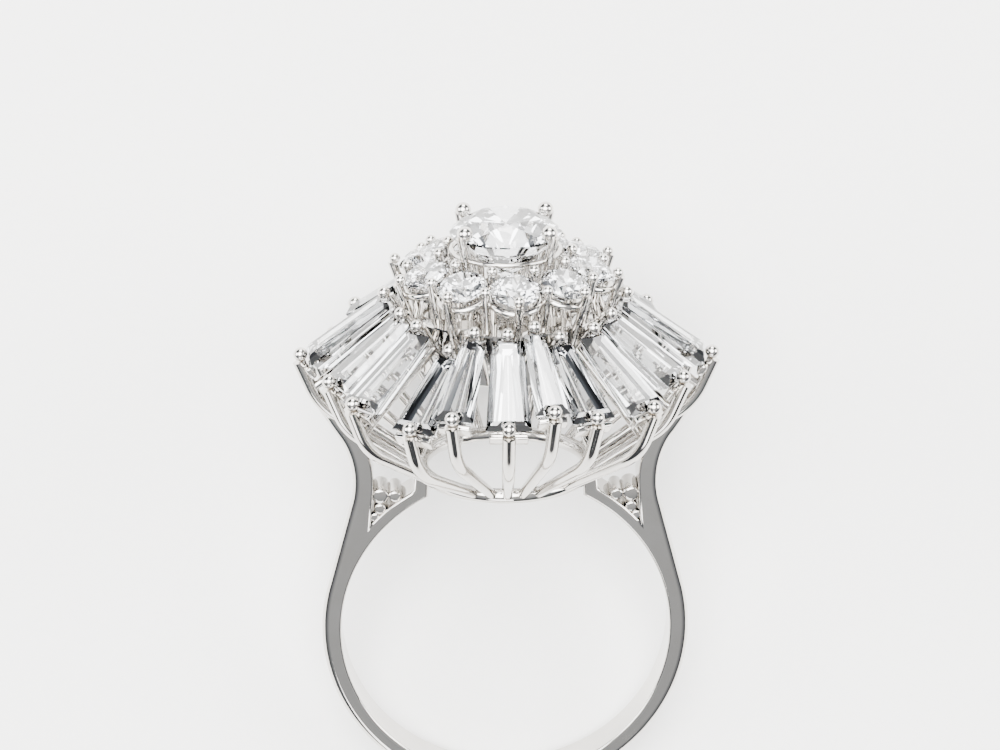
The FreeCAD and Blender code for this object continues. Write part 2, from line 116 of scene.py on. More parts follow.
def seat(bearing: float, reach: float, height: float, slope: float) -> Matrix:
    """The frame of a stone that lies outwards and down.

    Args:
        bearing: degrees round the head from its front.
        reach: distance from the head's axis.
        height: height above the finger's middle.
        slope: how far the stone's length dips, in degrees.

    Returns:
        A matrix whose X runs out along the stone and whose Z stands out of its table.
    """
    outward = polar(bearing, 1, 0)
    dip = math.radians(slope)
    along = outward * math.cos(dip) - Vector((0, 0, math.sin(dip)))
    out_of_table = outward * math.sin(dip) + Vector((0, 0, math.cos(dip)))
    across = out_of_table.cross(along)
    turn = Matrix((along, across, out_of_table)).transposed().to_4x4()
    return Matrix.Translation(polar(bearing, reach, height)) @ turn


def table_direction(place: Matrix) -> Vector:
    """The direction that stands out of the table of a stone at a place."""
    return (place.to_3x3() @ Vector((0, 0, 1))).normalized()


def to_drum(point: Vector, direction: Vector) -> Vector:
    """Follows an inward direction to the middle of the drum's wall.

    Args:
        point: the start, outside the drum.
        direction: the direction, towards the head's axis.

    Returns:
        The point at the middle of the wall.
    """
    reached = math.hypot(point.x, point.y)
    inward = math.hypot(direction.x, direction.y)
    return point + direction * ((reached - DRUM_MIDDLE) / inward)


def arc(centre: Vector, radius: float, first: float, last: float) -> list[Vector]:
    """Points of an arc about every 1.5 degrees.

    Args:
        centre: the arc's middle.
        radius: its radius.
        first: the direction of its first point, in degrees.
        last: the direction of its last point, in degrees.

    Returns:
        The points, both ends included.
    """
    count = max(2, round(abs(last - first) / 1.5))
    turns = [math.radians(first + (last - first) * k / count) for k in range(count + 1)]
    return [centre + Vector((math.cos(t), math.sin(t))) * radius for t in turns]


def bead_axes(radius: float, flat: float) -> Vector:
    """The half-axes of a bead that is a little flatter than a ball."""
    return Vector((1, 1, flat)) * radius


# Meshes

def link_object(name: str, mesh: bpy.types.Mesh) -> bpy.types.Object:
    """Puts a mesh in the scene.

    Args:
        name: the object's name.
        mesh: its mesh.

    Returns:
        The new object.
    """
    made = bpy.data.objects.new(name, mesh)
    bpy.context.scene.collection.objects.link(made)
    return made


def to_piece(form: bmesh.types.BMesh, name: str,
             material: bpy.types.Material | None = None) -> bpy.types.Object:
    """Turns a drawn form into an object with smooth faces, and frees the form.

    Args:
        form: the form, upright and in millimetres.
        name: the piece's name.
        material: its material, where no tree sets it.

    Returns:
        The object, still upright and in millimetres.
    """
    for face in form.faces:
        face.smooth = True
    mesh = bpy.data.meshes.new(name)
    form.to_mesh(mesh)
    form.free()
    piece = link_object(name, mesh)
    if material:
        piece.data.materials.append(material)
    return piece


def bake_modifiers(piece: bpy.types.Object) -> None:
    """Turns a piece's live modifiers into its plain mesh.

    Args:
        piece: the object, which has no modifier left afterwards.
    """
    bpy.context.view_layer.update()
    graph = bpy.context.evaluated_depsgraph_get()
    made = bpy.data.meshes.new_from_object(piece.evaluated_get(graph), depsgraph=graph)
    piece.modifiers.clear()
    piece.data = made


def lay_down(piece: bpy.types.Object, slot: Slot, *nodes: str) -> bpy.types.Object:
    """Args:
        piece: a piece drawn upright in millimetres, with no modifiers left.
        slot: the record's material slot; not used.
        nodes: the CAD nodes that it stands for.

    Returns:
        The piece, now in metres and in the row's frame.
    """
    piece.data.transform(UPRIGHT_TO_REST)
    piece.data.update()
    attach(piece, "root")
    if nodes:
        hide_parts(*nodes)
    LOG.info("%s: %d faces", piece.name, len(piece.data.polygons))
    return piece


# Finishes

@dataclass(frozen=True)
class Finish:
    """A named surface finish that builds one node material."""

    name: str

    def new_tree(self) -> tuple[bpy.types.Material, bpy.types.NodeTree]:
        """Starts the material.

        Returns:
            An empty node material of this finish's name, and its tree.
        """
        material = bpy.data.materials.new(self.name)
        material.use_nodes = True
        material.node_tree.nodes.clear()
        return material, material.node_tree


@dataclass(frozen=True)
class PolishedWhiteGold(Finish):
    """Palladium white gold, mirror polished: a faintly warm white, with faint polishing haze."""

    name: str = "polished_palladium_white_gold"
    bright: str = "D6D3CF"
    worn: str = "BFBBB5"
    roughness: tuple[float, float] = (0.035, 0.11)
    haze_mm: float = 1.6
    hairline_mm: float = 0.09

    def build(self) -> bpy.types.Material:
        """Builds the metal.

        Returns:
            A material whose haze is drawn at about a millimetre and whose hairlines are drawn a
            little coarser than the real ones, so that they show at all.
        """
        material, tree = self.new_tree()
        place = add_node(tree, "ShaderNodeTexCoord")
        haze = add_node(tree, "ShaderNodeTexNoise", inputs={
            "Vector": place.outputs["Object"], "Scale": 1000 / self.haze_mm, "Detail": 4.0})
        colour = add_node(tree, "ShaderNodeMix", {"data_type": "RGBA"}, {
            0: haze.outputs["Fac"], 6: linear(self.bright), 7: linear(self.worn)})
        polish = add_node(tree, "ShaderNodeMapRange", inputs={
            "Value": haze.outputs["Fac"], "From Min": 0.35, "From Max": 0.7,
            "To Min": self.roughness[0], "To Max": self.roughness[1]})
        hairlines = add_node(tree, "ShaderNodeTexNoise", inputs={
            "Vector": place.outputs["Object"], "Scale": 1000 / self.hairline_mm, "Detail": 2.0})
        bump = add_node(tree, "ShaderNodeBump", inputs={
            "Height": hairlines.outputs["Fac"], "Strength": 0.02, "Distance": 0.00001})
        shader = add_node(tree, "ShaderNodeBsdfPrincipled", inputs={
            "Base Color": colour.outputs[2], "Metallic": 1.0,
            "Roughness": polish.outputs["Result"], "Normal": bump.outputs["Normal"]})
        add_node(tree, "ShaderNodeOutputMaterial", inputs={"Surface": shader.outputs["BSDF"]})
        return material


@dataclass(frozen=True)
class CutDiamond(Finish):
    """Colourless diamond, flat polished facets: clear, with strong reflections and bent light."""

    name: str = "colourless_diamond"
    clear: str = "FFFFFF"
    cloud: str = "F3F6FA"
    index: float = 2.417
    cloud_mm: float = 0.9

    def build(self) -> bpy.types.Material:
        """Builds the stone's material.

        Returns:
            A clear material with the faintest cloud in its colour.
        """
        material, tree = self.new_tree()
        place = add_node(tree, "ShaderNodeTexCoord")
        cloud = add_node(tree, "ShaderNodeTexNoise", inputs={
            "Vector": place.outputs["Object"], "Scale": 1000 / self.cloud_mm, "Detail": 2.0})
        colour = add_node(tree, "ShaderNodeMix", {"data_type": "RGBA"}, {
            0: cloud.outputs["Fac"], 6: linear(self.clear), 7: linear(self.cloud)})
        shader = add_node(tree, "ShaderNodeBsdfPrincipled", inputs={
            "Base Color": colour.outputs[2], "Metallic": 0.0, "Roughness": 0.0,
            "IOR": self.index, "Transmission Weight": 1.0})
        add_node(tree, "ShaderNodeOutputMaterial", inputs={"Surface": shader.outputs["BSDF"]})
        return material


@dataclass(frozen=True)
class PaleCard(Finish):
    """Uncoated pale card under the ring: even, matt, with a fine tooth."""

    name: str = "pale_card"
    light: str = "F7F6F4"
    shade: str = "F2F1EE"
    tooth_mm: float = 0.5

    def build(self) -> bpy.types.Material:
        """Builds the card's material.

        Returns:
            A matt material whose tooth shows only close up.
        """
        material, tree = self.new_tree()
        place = add_node(tree, "ShaderNodeTexCoord")
        tooth = add_node(tree, "ShaderNodeTexNoise", inputs={
            "Vector": place.outputs["Object"], "Scale": 1000 / self.tooth_mm, "Detail": 3.0})
        colour = add_node(tree, "ShaderNodeMix", {"data_type": "RGBA"}, {
            0: tooth.outputs["Fac"], 6: linear(self.light), 7: linear(self.shade)})
        bump = add_node(tree, "ShaderNodeBump", inputs={
            "Height": tooth.outputs["Fac"], "Strength": 0.15, "Distance": 0.00002})
        shader = add_node(tree, "ShaderNodeBsdfPrincipled", inputs={
            "Base Color": colour.outputs[2], "Roughness": 0.75, "Normal": bump.outputs["Normal"]})
        add_node(tree, "ShaderNodeOutputMaterial", inputs={"Surface": shader.outputs["BSDF"]})
        return material


# Geometry Nodes trees

class TreeMaker:
    """Builds geometry trees with named inputs and applies them to a piece."""

    @staticmethod
    def new(name: str, sockets: Sequence[tuple[str, str, float | int | None]]) -> tuple:
        """Starts a tree.

        Args:
            name: the tree's name.
            sockets: name, socket type and default value of each input after the geometry.

        Returns:
            The tree and its input node.
        """
        tree = bpy.data.node_groups.new(name, "GeometryNodeTree")
        tree.interface.new_socket("Geometry", in_out="INPUT", socket_type="NodeSocketGeometry")
        for title, kind, default in sockets:
            made = tree.interface.new_socket(title, in_out="INPUT", socket_type=kind)
            if default is not None:
                made.default_value = default
        tree.interface.new_socket("Geometry", in_out="OUTPUT", socket_type="NodeSocketGeometry")
        return tree, add_node(tree, "NodeGroupInput")

    @staticmethod
    def close(tree: bpy.types.NodeTree, geometry: bpy.types.NodeSocket,
              material: bpy.types.NodeSocket) -> bpy.types.NodeTree:
        """Ends a tree in real geometry with its material set.

        Args:
            tree: the tree.
            geometry: the socket of the finished geometry.
            material: the socket of the material.

        Returns:
            The tree.
        """
        real = add_node(tree, "GeometryNodeRealizeInstances", inputs={"Geometry": geometry})
        dressed = add_node(tree, "GeometryNodeSetMaterial", inputs={
            "Geometry": real.outputs["Geometry"], "Material": material})
        add_node(tree, "NodeGroupOutput", inputs={"Geometry": dressed.outputs["Geometry"]})
        return tree

    @staticmethod
    def apply(piece: bpy.types.Object, tree: bpy.types.NodeTree, values: dict) -> None:
        """Runs a tree on a piece and keeps the result as its plain mesh.

        Args:
            piece: the object that carries the input mesh.
            tree: the geometry tree.
            values: input name to value, set by the socket's identifier.
        """
        modifier = piece.modifiers.new(tree.name, "NODES")
        modifier.node_group = tree
        for item in tree.interface.items_tree:
            if item.item_type == "SOCKET" and item.in_out == "INPUT" and item.name in values:
                modifier[item.identifier] = values[item.name]
        bake_modifiers(piece)


def wire_tree() -> bpy.types.NodeTree:
    """Builds the tree that sweeps round wire and sets beads.

    Returns:
        A tree that bends and sweeps centre lines, and puts a bead on every marked point.
    """
    tree, source = TreeMaker.new("wire_and_beads", (
        ("Bend Radius", "NodeSocketFloat", 2.0), ("Bend Steps", "NodeSocketInt", 14),
        ("Sides", "NodeSocketInt", 20), ("Material", "NodeSocketMaterial", None)))
    thick = add_node(tree, "GeometryNodeInputNamedAttribute", {"data_type": "FLOAT"},
                     {"Name": "thickness"})
    lines = add_node(tree, "GeometryNodeMeshToCurve", inputs={"Mesh": source.outputs["Geometry"]})
    bent = add_node(tree, "GeometryNodeFilletCurve", {"mode": "POLY"}, {
        "Curve": lines.outputs["Curve"], 1: source.outputs["Bend Steps"],
        "Radius": source.outputs["Bend Radius"], "Limit Radius": True})
    section = add_node(tree, "GeometryNodeCurvePrimitiveCircle", inputs={
        "Resolution": source.outputs["Sides"], "Radius": 1.0})
    swept = add_node(tree, "GeometryNodeCurveToMesh", inputs={
        "Curve": bent.outputs["Curve"], "Profile Curve": section.outputs["Curve"],
        "Scale": thick.outputs["Attribute"], "Fill Caps": True})
    size = add_node(tree, "GeometryNodeInputNamedAttribute", {"data_type": "FLOAT_VECTOR"},
                    {"Name": "bead_size"})
    up = add_node(tree, "GeometryNodeInputNamedAttribute", {"data_type": "FLOAT_VECTOR"},
                  {"Name": "bead_up"})
    length = add_node(tree, "ShaderNodeVectorMath", {"operation": "LENGTH"},
                      {0: size.outputs["Attribute"]})
    marked = add_node(tree, "FunctionNodeCompare",
                      {"data_type": "FLOAT", "operation": "GREATER_THAN"},
                      {0: length.outputs["Value"], 1: 0.001})
    turned = add_node(tree, "FunctionNodeAlignRotationToVector", {"axis": "Z"},
                      {"Vector": up.outputs["Attribute"]})
    ball = add_node(tree, "GeometryNodeMeshUVSphere", inputs={
        "Segments": 24, "Rings": 14, "Radius": 1.0})
    beads = add_node(tree, "GeometryNodeInstanceOnPoints", inputs={
        "Points": source.outputs["Geometry"], "Selection": marked.outputs["Result"],
        "Instance": ball.outputs["Mesh"], "Rotation": turned.outputs["Rotation"],
        "Scale": size.outputs["Attribute"]})
    both = add_node(tree, "GeometryNodeJoinGeometry")
    tree.links.new(beads.outputs["Instances"], both.inputs["Geometry"])
    tree.links.new(swept.outputs["Mesh"], both.inputs["Geometry"])
    smooth = add_node(tree, "GeometryNodeSetShadeSmooth", inputs={
        "Geometry": both.outputs["Geometry"]})
    return TreeMaker.close(tree, smooth.outputs["Geometry"], source.outputs["Material"])


def ring_tree() -> bpy.types.NodeTree:
    """Builds the tree of one closed wire ring.

    Returns:
        A tree that makes the ring about the head's axis.
    """
    tree, source = TreeMaker.new("wire_ring", (
        ("Ring Radius", "NodeSocketFloat", 5.0), ("Wire Radius", "NodeSocketFloat", 0.3),
        ("Height", "NodeSocketFloat", 10.0), ("Steps", "NodeSocketInt", 160),
        ("Sides", "NodeSocketInt", 24), ("Material", "NodeSocketMaterial", None)))
    circle = add_node(tree, "GeometryNodeCurvePrimitiveCircle", inputs={
        "Resolution": source.outputs["Steps"], "Radius": source.outputs["Ring Radius"]})
    section = add_node(tree, "GeometryNodeCurvePrimitiveCircle", inputs={
        "Resolution": source.outputs["Sides"], "Radius": source.outputs["Wire Radius"]})
    swept = add_node(tree, "GeometryNodeCurveToMesh", inputs={
        "Curve": circle.outputs["Curve"], "Profile Curve": section.outputs["Curve"]})
    lift = add_node(tree, "ShaderNodeCombineXYZ", inputs={"Z": source.outputs["Height"]})
    raised = add_node(tree, "GeometryNodeTransform", inputs={
        "Geometry": swept.outputs["Mesh"], "Translation": lift.outputs["Vector"]})
    smooth = add_node(tree, "GeometryNodeSetShadeSmooth", inputs={
        "Geometry": raised.outputs["Geometry"]})
    return TreeMaker.close(tree, smooth.outputs["Geometry"], source.outputs["Material"])


def piercing_tree() -> bpy.types.NodeTree:
    """Builds the tree that pierces a plate.

    Returns:
        A tree that cuts a circle of round holes.
    """
    tree, source = TreeMaker.new("pierced_plate", (
        ("Holes", "NodeSocketInt", 10), ("Hole Reach", "NodeSocketFloat", 3.7),
        ("Hole Radius", "NodeSocketFloat", 0.75), ("Turn", "NodeSocketFloat", 0.0),
        ("Height", "NodeSocketFloat", 17.3), ("Material", "NodeSocketMaterial", None)))
    circle = add_node(tree, "GeometryNodeMeshCircle", inputs={
        "Vertices": source.outputs["Holes"], "Radius": source.outputs["Hole Reach"]})
    lift = add_node(tree, "ShaderNodeCombineXYZ", inputs={"Z": source.outputs["Height"]})
    spin = add_node(tree, "ShaderNodeCombineXYZ", inputs={"Z": source.outputs["Turn"]})
    placed = add_node(tree, "GeometryNodeTransform", inputs={
        "Geometry": circle.outputs["Mesh"], "Translation": lift.outputs["Vector"],
        "Rotation": spin.outputs["Vector"]})
    drill = add_node(tree, "GeometryNodeMeshCylinder", inputs={
        "Vertices": 48, "Radius": source.outputs["Hole Radius"], "Depth": 2.0})
    drills = add_node(tree, "GeometryNodeInstanceOnPoints", inputs={
        "Points": placed.outputs["Geometry"], "Instance": drill.outputs["Mesh"]})
    solid = add_node(tree, "GeometryNodeRealizeInstances", inputs={
        "Geometry": drills.outputs["Instances"]})
    cut = add_node(tree, "GeometryNodeMeshBoolean", {"operation": "DIFFERENCE"}, {
        "Mesh 1": source.outputs["Geometry"], "Mesh 2": solid.outputs["Geometry"]})
    return TreeMaker.close(tree, cut.outputs["Mesh"], source.outputs["Material"])


class Skeleton:
    """Centre lines and bead places of a wire sub-assembly, in upright millimetres."""

    def __init__(self) -> None:
        """Starts with no wire and no bead."""
        self.form = bmesh.new()
        self.thickness = self.form.verts.layers.float.new("thickness")
        self.size = self.form.verts.layers.float_vector.new("bead_size")
        self.up = self.form.verts.layers.float_vector.new("bead_up")

    def wire(self, points: Sequence[Vector], radii: Sequence[float]) -> None:
        """Adds one wire.

        Args:
            points: its centre line's corners.
            radii: its radius at each corner.
        """
        spots = []
        for point, radius in zip(points, radii):
            spot = self.form.verts.new(point)
            spot[self.thickness] = radius
            spots.append(spot)
        for first, second in zip(spots, spots[1:]):
            self.form.edges.new((first, second))

    def bead(self, point: Vector, up: Vector, size: Vector) -> None:
        """Adds one bead.

        Args:
            point: its middle.
            up: the direction of its third half-axis.
            size: its three half-axes.
        """
        spot = self.form.verts.new(point)
        spot[self.size] = size
        spot[self.up] = up

    def sweep(self, name: str, tree: bpy.types.NodeTree, values: dict) -> bpy.types.Object:
        """Sweeps the wires and sets the beads.

        Args:
            name: the piece's name.
            tree: the wire tree.
            values: its inputs, by name.

        Returns:
            One finished piece of the mount.
        """
        piece = to_piece(self.form, name)
        TreeMaker.apply(piece, tree, values)
        return lay_down(piece, Slot.METAL, "mount")


# Sub-assemblies

@dataclass
class Shank:
    """The shank with its split shoulders and the rods in their forks."""

    bore: float = 8.5
    width: float = 2.2
    thickness: float = 1.0
    low_arm: float = 0.65
    high_arm: float = 1.05
    shoulder_angle: float = 15.0
    shoulder_run: float = 4.72
    flare_radius: float = 4.85
    flare_direction: float = 58.0
    high_arm_top: float = 12.6
    post_inner: float = 3.95
    post_outer: float = 4.65
    post_top: float = BASE_RING_HEIGHT
    edge_round: float = 0.42
    inner_round: float = 0.14
    inner_arc_start: float = 184.0
    crotch_width: float = 0.15
    rod_length: float = 1.9
    rod_round: float = 0.45
    rods: tuple[tuple[float, float, float], ...] = (
        # distance from the middle, height, radius
        (6.40, 7.52, 0.45), (5.66, 7.50, 0.34), (6.42, 6.82, 0.32), (6.68, 6.36, 0.26),
    )

    def half_profile(self) -> tuple[list[Vector], list[Vector]]:
        """The right half of the outline, from the bore's lowest point to the outer lowest point.

        Returns:
            The inner run up to the arm's top, and the outer run down from it.
        """
        outer = self.bore + self.thickness
        low_top = self.bore + self.low_arm
        angle = math.radians(self.shoulder_angle)
        flare = math.radians(self.flare_direction)
        outward = Vector((math.cos(angle), math.sin(angle)))
        upward = Vector((-math.sin(angle), math.cos(angle)))
        shoulder = outward * outer
        flare_start = shoulder + upward * self.shoulder_run
        middle = flare_start + outward * self.flare_radius
        inner_flare = self.flare_radius + self.high_arm
        leaving = Vector((math.cos(flare), math.sin(flare)))

        def to_top(point: Vector) -> Vector:
            """Follows the flare from a point to the arm's top."""
            return point + leaving * ((self.high_arm_top - point.y) / leaving.y)

        def bearing(across: float, radius: float) -> float:
            """The angle at which a circle about the finger reaches a distance across."""
            return math.degrees(math.acos(across / radius))

        origin = Vector((0, 0))
        arm_end = 90 + self.flare_direction
        inner_arc = arc(middle, inner_flare, self.inner_arc_start, arm_end)
        outer_arc = arc(middle, self.flare_radius, arm_end, 180 + self.shoulder_angle)
        crotch = inner_arc[0].x + self.crotch_width
        inside = [
            *arc(origin, self.bore, -90, bearing(self.post_inner, self.bore)),
            Vector((self.post_inner, self.post_top)),
            Vector((self.post_outer, self.post_top)),
            *arc(origin, low_top, bearing(self.post_outer, low_top), bearing(crotch, low_top)),
            *inner_arc,
            to_top(inner_arc[-1]),
        ]
        outside = [to_top(outer_arc[0]), *outer_arc, *arc(origin, outer, self.shoulder_angle, -90)]
        return inside, outside

    def build(self, metal: bpy.types.Material) -> list[bpy.types.Object]:
        """Builds the shank and its fork rods.

        Args:
            metal: the metal's material.

        Returns:
            The two pieces.
        """
        inside, outside = self.half_profile()
        half = [(p, False) for p in inside] + [(p, True) for p in outside]
        outline = half + [(Vector((-p.x, p.y)), outer) for p, outer in reversed(half[1:-1])]
        form = bmesh.new()
        weight = form.edges.layers.float.new("bevel_weight_edge")
        sides = []
        for y in (-self.width / 2, self.width / 2):
            sides.append([form.verts.new((p.x, y, p.y)) for p, _ in outline])
        form.faces.new(sides[0])
        form.faces.new(list(reversed(sides[1])))
        count = len(outline)
        for k in range(count):
            following = (k + 1) % count
            form.faces.new((sides[0][following], sides[0][k], sides[1][k], sides[1][following]))
            soft = outline[k][1] and outline[following][1]
            for side in sides:
                edge = form.edges.get((side[k], side[following]))
                edge[weight] = 1.0 if soft else self.inner_round / self.edge_round
        bmesh.ops.recalc_face_normals(form, faces=form.faces)
        piece = to_piece(form, "shank", metal)
        soften = piece.modifiers.new("soft_edges", "BEVEL")
        soften.width = self.edge_round
        soften.segments = 6
        soften.limit_method = "WEIGHT"
        soften.use_clamp_overlap = False
        soften.harden_normals = True
        bake_modifiers(piece)
        return [lay_down(piece, Slot.METAL, "mount"), self.build_rods(metal)]

    def build_rods(self, metal: bpy.types.Material) -> bpy.types.Object:
        """Builds the short rods that fill the forks.

        Args:
            metal: the metal's material.

        Returns:
            The rods as one piece, with rounded ends.
        """
        form = bmesh.new()
        for side in (-1, 1):
            for across, up, radius in self.rods:
                place = (Matrix.Translation((side * across, 0, up))
                         @ Matrix.Rotation(math.pi / 2, 4, "X"))
                made = bmesh.ops.create_cone(form, cap_ends=True, segments=40, radius1=radius,
                                             radius2=radius, depth=self.rod_length, matrix=place)
                rims = {edge for spot in made["verts"] for edge in spot.link_edges
                        if any(len(face.verts) > 4 for face in edge.link_faces)}
                bmesh.ops.bevel(form, geom=list(rims), offset=radius * self.rod_round, segments=5,
                                profile=0.5, affect="EDGES")
        return lay_down(to_piece(form, "fork_rods", metal), Slot.METAL, "mount")


@dataclass
class WireRings:
    """The closed rings of round wire: under the basket and below the centre stone."""

    rings: tuple[tuple[str, float, float, float], ...] = (
        # name, radius, wire radius, height
        ("base_ring", BASE_RING_RADIUS, 0.38, BASE_RING_HEIGHT),
        ("collet_ring", 2.70, 0.13, 20.40),
    )

    def build(self, metal: bpy.types.Material) -> list[bpy.types.Object]:
        """Builds each ring with the ring tree.

        Args:
            metal: the metal's material.

        Returns:
            The rings.
        """
        tree = ring_tree()
        made = []
        for name, radius, wire, height in self.rings:
            piece = link_object(name, bpy.data.meshes.new(name))
            TreeMaker.apply(piece, tree, {
                "Ring Radius": radius, "Wire Radius": wire, "Height": height, "Material": metal})
            made.append(lay_down(piece, Slot.METAL, "mount"))
        return made


@dataclass(frozen=True)
class Baguette:
    """The place and size of one tapered stone of the skirt, and the bearing of its claw's foot."""

    bearing: float
    foot_bearing: float
    reach: float
    height: float
    slope: float
    length: float
    outer_width: float

    def seat(self) -> Matrix:
        """The stone's frame at its outer girdle end."""
        return seat(self.bearing, self.reach, self.height, self.slope)

    def mirrored(self) -> "Baguette":
        """The same stone on the other side of the head."""
        return replace(self, bearing=-self.bearing, foot_bearing=-self.foot_bearing)


# Across the front from left to right, and from there round to the middle of the back.
FRONT_STONES = (
    Baguette(-84.0, -84.0, 9.95, 15.05, 36.0, 4.95, 2.20),
    Baguette(-65.0, -65.0, 9.30, 14.70, 37.0, 4.60, 2.10),
    Baguette(-48.0, -43.0, 9.85, 14.55, 35.0, 4.90, 2.20),
    Baguette(-29.0, -21.5, 9.65, 13.95, 34.0, 4.60, 2.30),
    Baguette(-16.5, -10.0, 9.70, 14.80, 36.0, 4.75, 1.90),
    Baguette(-1.0, -0.5, 9.60, 14.40, 40.0, 4.95, 2.20),
    Baguette(11.5, 9.0, 9.65, 15.15, 35.0, 4.75, 1.70),
    Baguette(24.5, 19.0, 9.45, 14.50, 35.0, 4.65, 2.30),
    Baguette(43.5, 40.0, 9.65, 14.40, 37.0, 4.80, 2.30),
    Baguette(64.0, 64.0, 9.20, 14.80, 35.0, 4.50, 2.20),
    Baguette(83.0, 83.0, 10.00, 15.05, 35.0, 5.00, 2.20),
)
REAR_STONES = (
    Baguette(100.0, 100.0, 9.20, 14.10, 36.0, 4.70, 2.15),
    Baguette(116.0, 116.0, 9.40, 14.25, 35.0, 4.70, 2.20),
    Baguette(132.0, 132.0, 9.95, 15.00, 35.0, 4.90, 2.20),
    Baguette(148.5, 148.5, 9.35, 14.45, 36.0, 4.70, 2.20),
    Baguette(164.5, 164.5, 9.85, 14.90, 35.0, 4.90, 2.10),
)
BACK_STONE = Baguette(180.0, 180.0, 9.05, 14.40, 37.0, 4.60, 2.20)
SKIRT_STONES = (*FRONT_STONES, *REAR_STONES, BACK_STONE,
                *(stone.mirrored() for stone in reversed(REAR_STONES)))


@dataclass
class Skirt:
    """The metal under the baguettes: outer claws, seat blocks, bearers and inner claws."""

    stones: tuple[Baguette, ...] = SKIRT_STONES
    claw: float = 0.33
    claw_taper: tuple[float, float, float] = (1.0, 0.97, 0.78)
    claw_above: float = 0.2
    claw_slack: float = 0.02
    lean: float = 22.0
    drop: float = 2.5
    bend: float = 3.5
    bead: float = 0.36
    bead_inset: float = 0.14
    bead_lift: float = 0.1
    bead_flat: float = 0.94
    inner_claw: float = 0.21
    inner_above: float = 0.15
    inner_bead: float = 0.33
    inner_bead_inset: float = 0.12
    inner_bead_lift: float = 0.12
    bearer: float = 0.22
    bearer_depth: float = 1.35
    block_height: float = 0.6
    block_thickness: float = 0.3
    block_share: float = 0.84
    block_out: float = 0.03
    block_below: float = 0.12
    block_round: float = 0.07

    def build(self, metal: bpy.types.Material, tree: bpy.types.NodeTree) -> list[bpy.types.Object]:
        """Builds the claws with the wire tree, and the seat blocks.

        Args:
            metal: the metal's material.
            tree: the wire tree.

        Returns:
            The pieces.
        """
        outer, inner, bearers = Skeleton(), Skeleton(), Skeleton()
        lean = math.radians(self.lean)
        for stone in self.stones:
            place = stone.seat()
            up = table_direction(place)
            top = place @ Vector((self.claw + STONE_GAP + self.claw_slack, 0, self.claw_above))
            downwards = polar(stone.bearing, -math.sin(lean), -math.cos(lean))
            knee = top + downwards * self.drop
            foot = polar(stone.foot_bearing, BASE_RING_RADIUS, BASE_RING_HEIGHT)
            outer.wire((top, knee, foot), [self.claw * share for share in self.claw_taper])
            outer.bead(place @ Vector((self.bead_inset, 0, self.bead + self.bead_lift)), up,
                       bead_axes(self.bead, self.bead_flat))
            below_end = place @ Vector((-stone.length, 0, -self.bearer_depth))
            on_drum = to_drum(below_end, place.to_3x3() @ Vector((-1, 0, 0)))
            bearers.wire((on_drum, self.meet(place, top, downwards)), (self.bearer, self.bearer))
            inner_top = place @ Vector((-stone.length - self.inner_claw - STONE_GAP, 0,
                                        self.inner_above))
            inner.wire((to_drum(inner_top, -up), inner_top), (self.inner_claw, self.inner_claw))
            inner.bead(place @ Vector((-stone.length - self.inner_bead_inset, 0,
                                       self.inner_bead + self.inner_bead_lift)), up,
                       bead_axes(self.inner_bead, self.bead_flat))
        values = {"Bend Radius": self.bend, "Material": metal}
        return [outer.sweep("outer_claws", tree, values), inner.sweep("inner_claws", tree, values),
                bearers.sweep("bearers", tree, values), self.build_blocks(metal)]

    def meet(self, place: Matrix, top: Vector, downwards: Vector) -> Vector:
        """The point where the bearer, drawn out below the stone, meets the outer claw.

        Args:
            place: the stone's frame.
            top: the claw's upper end.
            downwards: the direction of the claw from there.

        Returns:
            The meeting point, on the bearer's line.
        """
        start = place @ Vector((0, 0, -self.bearer_depth))
        along = place.to_3x3() @ Vector((1, 0, 0))
        normal = along.cross(downwards)
        distance = (top - start).cross(downwards).dot(normal) / normal.dot(normal)
        return start + along * distance

    def build_blocks(self, metal: bpy.types.Material) -> bpy.types.Object:
        """Builds the small seat block below each stone's outer end.

        Args:
            metal: the metal's material.

        Returns:
            The blocks as one piece, their edges rounded by filing.
        """
        form = bmesh.new()
        for stone in self.stones:
            size = (self.block_thickness, self.block_share * stone.outer_width, self.block_height)
            middle = Vector((self.block_out + size[0] / 2, 0, -self.block_below - size[2] / 2))
            place = stone.seat() @ Matrix.Translation(middle) @ Matrix.Diagonal((*size, 1))
            made = bmesh.ops.create_cube(form, size=1, matrix=place)
            edges = {edge for spot in made["verts"] for edge in spot.link_edges}
            bmesh.ops.bevel(form, geom=list(edges), offset=self.block_round, segments=3,
                            profile=0.5, affect="EDGES")
        return lay_down(to_piece(form, "seat_blocks", metal), Slot.METAL, "mount")


